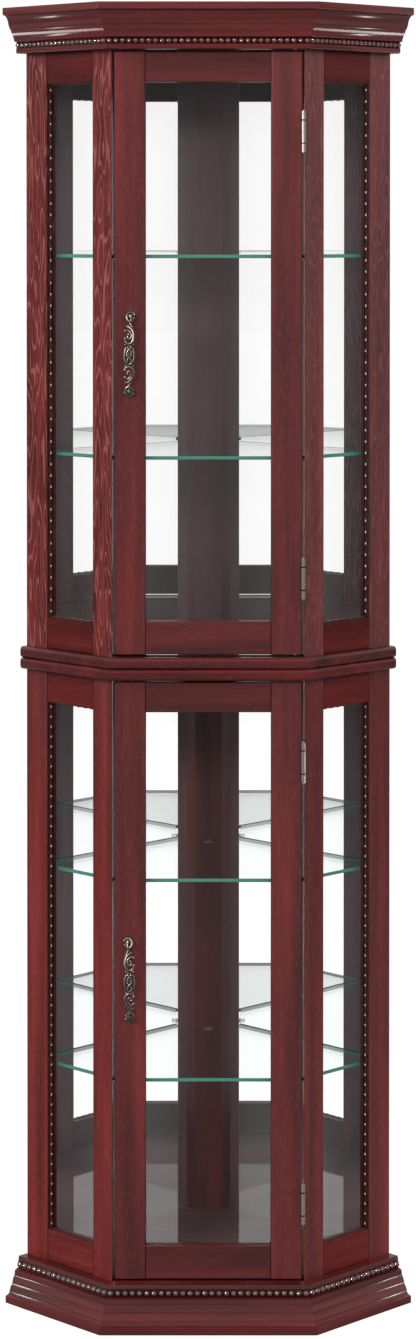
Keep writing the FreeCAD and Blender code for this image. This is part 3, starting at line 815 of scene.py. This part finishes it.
# %% Model one pull
parts = [
    # the curled ball at the top, and its neck
    ball(2, 52, 4.6),
    strand([(1.6, 44, 1.6), (-2.4, 47.6, 2), (-3.2, 52.8, 2.3), (0.2, 57, 1.8),
            (5, 57, 1.4), (7, 54.8, 1.2)], 1.8),
    strand([(2.2, 44.5, 1.3), (4.4, 47.2, 1.2), (6.4, 49.4, 1.1)], 2.2),
    strand([(2, 45, 1), (2.6, 49, 1.1), (3.2, 53.6, 0.8)], 3.8),
    ball(7, 54.6, 1.6, 1.9), ball(6.6, 49.8, 1.5, 2),
    strand([(2.2, 47, 3), (1.8, 42, 2.3), (3.2, 38, 1.8), (5.4, 33, 1.4)]),
    # the upper scroll: two leaves that wind round a curl
    strand([(-3.8, 39.4, 0.9), (0, 37.2, 1.4), (4, 33.4, 1.7), (5.9, 27.6, 2.1),
            (5.6, 21, 2.2), (3.2, 16, 1.9), (-1, 14.6, 1.6), (-4.6, 16.8, 1.6),
            (-5.6, 21, 1.7)], 0.6),
    ball(-5.5, 21.8, 2.3, 1),
    strand([(-5.4, 32.3, 1.3), (-1.6, 32.8, 1.3), (2.2, 29.8, 1.4), (3, 25.2, 1.4),
            (1, 21.8, 1.2), (-1.8, 22.4, 1), (-2.6, 25.4, 0.9), (-1.2, 27.4, 1.3)], 1.6),
    ball(-5.6, 32.2, 1.9, 1.4), ball(-1.2, 27.4, 1.7, 2.2),
    strand([(0, 17, 2.4), (0, 8, 2.2)], -1),
    ball(-5.3, 13, 1.2, 0.6), ball(5.4, 13.2, 1.2, 0.6), ball(2.6, 11, 1.2, 2.4),
    # the knot: a dark core, an oval round it, and strands that cross over it
    ball(0, -1.3, 5.6, -0.5, (1, 0.8, 1.9)),
    *[strand([(0, 11.4, 1.3), (4.6 * side, 8, 1.5), (6.3 * side, 1.6, 1.6),
              (6.3 * side, -4.2, 1.6), (4.6 * side, -10.6, 1.5), (0, -14, 1.3)], 1.6)
      for side in (-1, 1)],
    *[strand([(3 * side, 9.8, 1.1), (-1.8 * side, 5, 1.3), (-2.8 * side, -0.8, 1.3),
              (1.8 * side, -6, 1.3), (2.6 * side, -11.4, 1)], raised)
      for side, raised in ((-1, 3.6), (1, 4.4))],
    ball(-3.2, -1.8, 1.2, 4.6), ball(2.9, -1.8, 1.2, 4.6), ball(-2.6, -10, 1.2, 3.8),
    ball(2.6, -10, 1.2, 3.8),
    ball(-5.3, -15.2, 1.2, 0.6), ball(5.3, -15.4, 1.2, 0.6),
    strand([(0, -12, 2.2), (0, -19, 2.4)], -1),
    # the lower scroll
    strand([(-5.9, -20.4, 1.6), (-4, -17.8, 1.6), (0, -17, 1.7), (4.2, -19.2, 2.1),
            (5.9, -24.6, 2.2), (4.6, -30.4, 1.9), (1, -35, 1.5), (-3, -38.4, 1.2),
            (-6.6, -37.6, 0.7)], 0.6),
    ball(-5.8, -21, 2, 1),
    strand([(-5.6, -31.8, 1.4), (-2.4, -33.8, 1.4), (1.4, -31, 1.4), (2.6, -26.8, 1.3),
            (0.8, -23.2, 1.2), (-1.8, -23.6, 1), (-2.4, -26.4, 1.2)], 1.6),
    ball(-5.9, -31.4, 2, 1.2), ball(-2.3, -26.6, 1.6, 2.2),
    # the neck and the curled ball at the bottom
    strand([(4.6, -31, 1.5), (2.2, -36, 1.9), (0.2, -41, 2.3), (-0.4, -46, 2.8)]),
    strand([(3.8, -32, 0.8), (-0.4, -37, 1.2), (-4.4, -39.8, 0.8)], 2),
    ball(0.2, -51.2, 5),
    strand([(-0.4, -43.6, 1.4), (-4.2, -46.6, 1.9), (-5.2, -51.6, 2.2), (-3, -56, 1.9),
            (1.4, -57, 1.6), (4.8, -54.6, 1.2)], 1.6),
    strand([(0.6, -44.6, 1.1), (3.4, -46.8, 1.2), (5.2, -49.2, 1)], 2),
    strand([(0, -45, 1), (0.6, -49, 1.1), (0.4, -53.6, 0.8)], 4.2),
    ball(5.2, -54.2, 1.6, 1.8), ball(5.3, -49.4, 1.4, 2),
]
for foot in (-52.5, 52.5):
    parts.append(start_from(bpy.ops.mesh.primitive_cylinder_add, vertices=24, radius=3.4 * MM,
                            depth=9 * MM, location=Vector((0.8, -4.5, foot)) * MM,
                            rotation=(math.radians(90), 0, 0)))
casting = join_pieces(parts)
edit_all(bpy.ops.mesh.normals_make_consistent, inside=False)
skin = casting.modifiers.new("one_skin", "REMESH")
skin.mode, skin.voxel_size, skin.use_smooth_shade = "VOXEL", 0.42 * MM, True
melt = casting.modifiers.new("soft_edges", "SMOOTH")
melt.factor, melt.iterations = 0.5, 2
for name in (skin.name, melt.name):
    bpy.ops.object.modifier_apply(modifier=name)
print("the casting has", len(casting.data.polygons), "faces and is",
      [round(side / MM, 1) for side in casting.dimensions], "mm")

# %% Put a pull on each door
for unit, flip in (("lower", -1), ("upper", 1)):
    pull = own_copy(casting)
    low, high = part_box(unit + "_door_handle")
    pull.location = ((low.x + high.x) / 2, face_y, (low.z + high.z) / 2)
    pull.scale.x = flip
    join_pieces([pull])
    place_in(unit + "_door_pull", unit + "_door", pewter)
    if flip < 0:
        edit_all(bpy.ops.mesh.normals_make_consistent, inside=False)
    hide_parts(unit + "_door_handle")
    print(pull.name, "stands", round((face_y - min(v.co.y for v in pull.data.vertices)) / MM, 1),
          "mm out from its door")
bpy.data.objects.remove(casting)

# %% [markdown]
# ## Glazing strips
#
# A pane in a groove rattles. So a strip of soft vinyl, with a pip every centimetre and a half, is
# pushed in round each side window, between the pane and the front edge of its frame; the pips
# wedge against the wood. One pitch of the strip is modelled: a small block, whose outer face is
# inset and drawn out into a pip. An Array modifier repeats it along the edge, and the four
# lengths of a window are joined.
#
# A place on a side panel is given as along the panel from its front arris, into the cabinet from
# its outer face, and up.

# %% Helpers for the side panels
def panel_place(side, along, into, up):
    """A place on a side panel, in metres. The arguments are in millimetres."""
    corner = Vector((half_front * (1 if side == "right" else -1), face_y, 0))
    return corner + (across[side] * along - away[side] * into + UP * up) * MM


def inset_front(piece, **options):
    """Insets the faces of a piece that look along its -Y, and stays in edit mode.

    A known fault: edit mode keeps this choice only where it already works on faces. In the
    first call it still works on corners, takes every face and insets none. So the first strip,
    at the front stile of the lower left window, is inside out and its pips are loose blocks.
    """
    for face in piece.data.polygons:
        face.select = face.normal.y < -0.9
    for edge in piece.data.edges:
        edge.select = False
    bpy.ops.object.mode_set(mode="EDIT")
    bpy.ops.mesh.select_mode(type="FACE")
    bpy.ops.mesh.inset(**options)


print("a place in the left window:", [round(v, 3) for v in panel_place("left", 87, 5, 480)])

# %% Press the strips into the side windows
STRIP_WIDE, STRIP_THICK, PIP = 2.8, 0.8, 1.0      # across, out from the wood, and a pip's height
STRIP_BEHIND = 5.6                                # the middle of a strip, behind the panel's face
WINDOWS = {"lower": (105.4, 852.0, 14.0), "upper": (972.0, 1721.8, 16.0)}   # bottom, top, pitch


def strip(start, along, outward, length, pitch, pip_finish):
    """A length of strip that starts at a place and stands out along outward."""
    count = round(length / pitch)
    pitch = length / count
    axes = Matrix((along.cross(outward), -outward, along)).transposed()
    block = start_from(bpy.ops.mesh.primitive_cube_add, size=1, rotation=axes.to_euler(),
                       location=start + along * pitch / 2 + outward * STRIP_THICK * MM / 2)
    block.scale = (STRIP_WIDE * MM, STRIP_THICK * MM, pitch)
    bpy.ops.object.transform_apply(location=False, rotation=False, scale=True)
    inset_front(block, thickness=0.3 * MM, use_even_offset=True)
    bpy.ops.mesh.extrude_region_move(TRANSFORM_OT_translate={"value": outward * PIP * MM})
    bpy.ops.transform.resize(value=(1, 1, 0.2), orient_matrix=block.matrix_world.to_3x3(),
                             center_override=block.location)
    bpy.ops.object.mode_set(mode="OBJECT")
    for finish in (strip_vinyl, pip_finish):
        block.data.materials.append(finish)
    for face in block.data.polygons:
        if face.center.y < -(STRIP_THICK / 2 + 0.9 * PIP) * MM:
            face.material_index = 1
    repeat(block, count, (0, 0, pitch))
    return block


for unit, (bottom, top, pitch) in WINDOWS.items():
    for side in ("left", "right"):
        near, far = [panel_place(side, joint, STRIP_BEHIND, bottom) for joint in PANEL_JOINTS]
        rise = UP * (top - bottom) * MM
        join_pieces([strip(start, along, out, length.length, pitch * MM, pips)
                     for start, along, out, length, pips in (
                         (near, UP, across[side], rise, pip_vinyl),
                         (far, UP, -across[side], rise, pip_vinyl),
                         (near, across[side], UP, far - near, strip_vinyl),
                         (near + rise, across[side], -UP, far - near, strip_vinyl))])
        strips = place_in("_".join((unit, side, "glazing_strips")), "cabinet",
                          None)
print(strips.name, "has", len(strips.data.polygons), "faces")

# %% [markdown]
# ## Screws and nails
#
# The hinges, catches and strike plates are fixed with small countersunk screws. A screw's head
# lies flush in its leaf, because two closed leaves are only a fifth of a millimetre apart, so
# what shows of it is a disc with a slot. The disc is cut twice, once on each side of the slot,
# and each cut is closed. The hardboard backs are fixed with wire nails, every ten centimetres
# up the edges that lap a stile or the post; a nail's head is a disc with a bevelled rim.
#
# Each of the two heads is modelled once, and every copy is turned to the face that it sits in.

# %% Helpers for heads
def disc_head(radius, tall, slot=0.0):
    """A head with a bevelled rim that looks along -Y. With a slot, it's two half discs."""
    halves = []
    for sign in ((1, -1) if slot else (1,)):
        halves.append(start_from(bpy.ops.mesh.primitive_cylinder_add, vertices=20,
                                 radius=radius * MM, depth=tall / 2 * MM,
                                 rotation=(math.radians(90), 0, 0)))
        bpy.ops.object.transform_apply(location=True, rotation=True, scale=True)
        if slot:
            edit_all(bpy.ops.mesh.bisect, plane_co=(0, 0, sign * slot / 2 * MM),
                     plane_no=(0, 0, sign), use_fill=True, clear_inner=True)
    head = join_pieces(halves)
    inset_front(head, thickness=tall * 0.6 * MM, depth=tall / 4 * MM)
    bpy.ops.object.mode_set(mode="OBJECT")
    return head


def set_heads(name, body, head, places):
    """Copies a head to (place, outward, turn) and joins the copies into one piece."""
    copies = []
    for place, outward, turn in places:
        twin = own_copy(head)
        swing = Vector((0, -1, 0)).rotation_difference(Vector(outward)).to_matrix().to_4x4()
        twin.matrix_world = (Matrix.Translation(place) @ swing
                             @ Matrix.Rotation(math.radians(turn), 4, "Y"))
        copies.append(twin)
    join_pieces(copies)
    place_in(name, body, nickel)


print("a head looks along -Y until it's turned")

# %% Drive the screws
screw = disc_head(2.3, 0.16, slot=0.6)
leaf_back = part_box("frame_hinge_leaves")[1].y + 3 * MM
frame_leaf_x = half_front - 1.4 * MM        # the face of a frame leaf, towards the door
door_leaf_x = frame_leaf_x - 0.2 * MM
FROM_END = 5 * MM                           # from a plate's end to the middle of its screw
units = {"lower": HINGE_HEIGHTS[:2], "upper": HINGE_HEIGHTS[2:]}
on_leaf = ((-20, -7.0, 20), (0, -11.5, 75), (20, -7.0, 140))    # up, from the leaf's edge, turn
frame_screws = []
# the slots of one leaf point different ways, because a screw stops where it's tight
for unit, heights in units.items():
    door_screws = []
    for level in heights:
        for up, back, turn in on_leaf:
            y, z = leaf_back + back * MM, (level + up) * MM
            frame_screws.append(((frame_leaf_x, y, z), (-1, 0, 0), turn))
            door_screws.append(((door_leaf_x, y, z), (1, 0, 0), turn + 40))
    set_heads(unit + "_door_hinge_screws", unit + "_door", screw, door_screws)
    low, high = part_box(unit + "_door_strike_plate")
    set_heads(unit + "_strike_screws", unit + "_door", screw,
              [((x, high.y, (low.z + high.z) / 2), (0, 1, 0), 20 + 900 * x)
               for x in (low.x + FROM_END, high.x - FROM_END)])
set_heads("frame_hinge_screws", "cabinet", screw, frame_screws)
low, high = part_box("magnetic_catches")
set_heads("catch_screws", "cabinet", screw,
          [((x, (low.y + high.y) / 2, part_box(board)[1].z + 12 * MM), (0, 0, 1), 900 * x)
           for board in ("floor_board", "upper_floor_board")
           for x in (low.x + FROM_END, high.x - FROM_END)])
bpy.data.objects.remove(screw)
print(len(frame_screws), "screws hold the frame leaves")

# %% Drive the nails
nail = disc_head(1.8, 0.5)
APART = 0.1                                               # metres between two nails, about
wall = face_y + (wall_length + side_width) / ROOT2        # x + y on a back's outer face
for unit in units:
    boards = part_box(unit + "_back_boards")
    low, high = boards[0].z + 12 * MM, boards[1].z - 12 * MM
    rows = round((high - low) / APART)
    reach = (boards[1].x - 4 * MM, 32.5 * MM)             # into the rear stile and the post
    spots = [(Vector((side * x, wall - x, low + (high - low) * row / rows)), (side, 1, 0), 0)
             for side in (-1, 1) for x in reach for row in range(rows + 1)]
    set_heads(unit + "_back_nails", "cabinet", nail, spots)
bpy.data.objects.remove(nail)
print(len(spots), "nails hold the upper backs")

# %% [markdown]
# ## Glints
#
# Light linking works by collection: a lamp that is given one lights only the objects in it. The
# small bright lamps got theirs when they were hung, and it's filled now that every piece exists.
# A hinge catches them together with its screws and the door stile that it's screwed to.

# %% Name the pieces that catch the glints
CATCHING = ("moulding_left", "moulding_right", "bead", "pull", "hinge")
for piece in scene.objects:
    if piece.type == "MESH" and any(word in piece.name for word in CATCHING):
        sparkling.objects.link(piece)
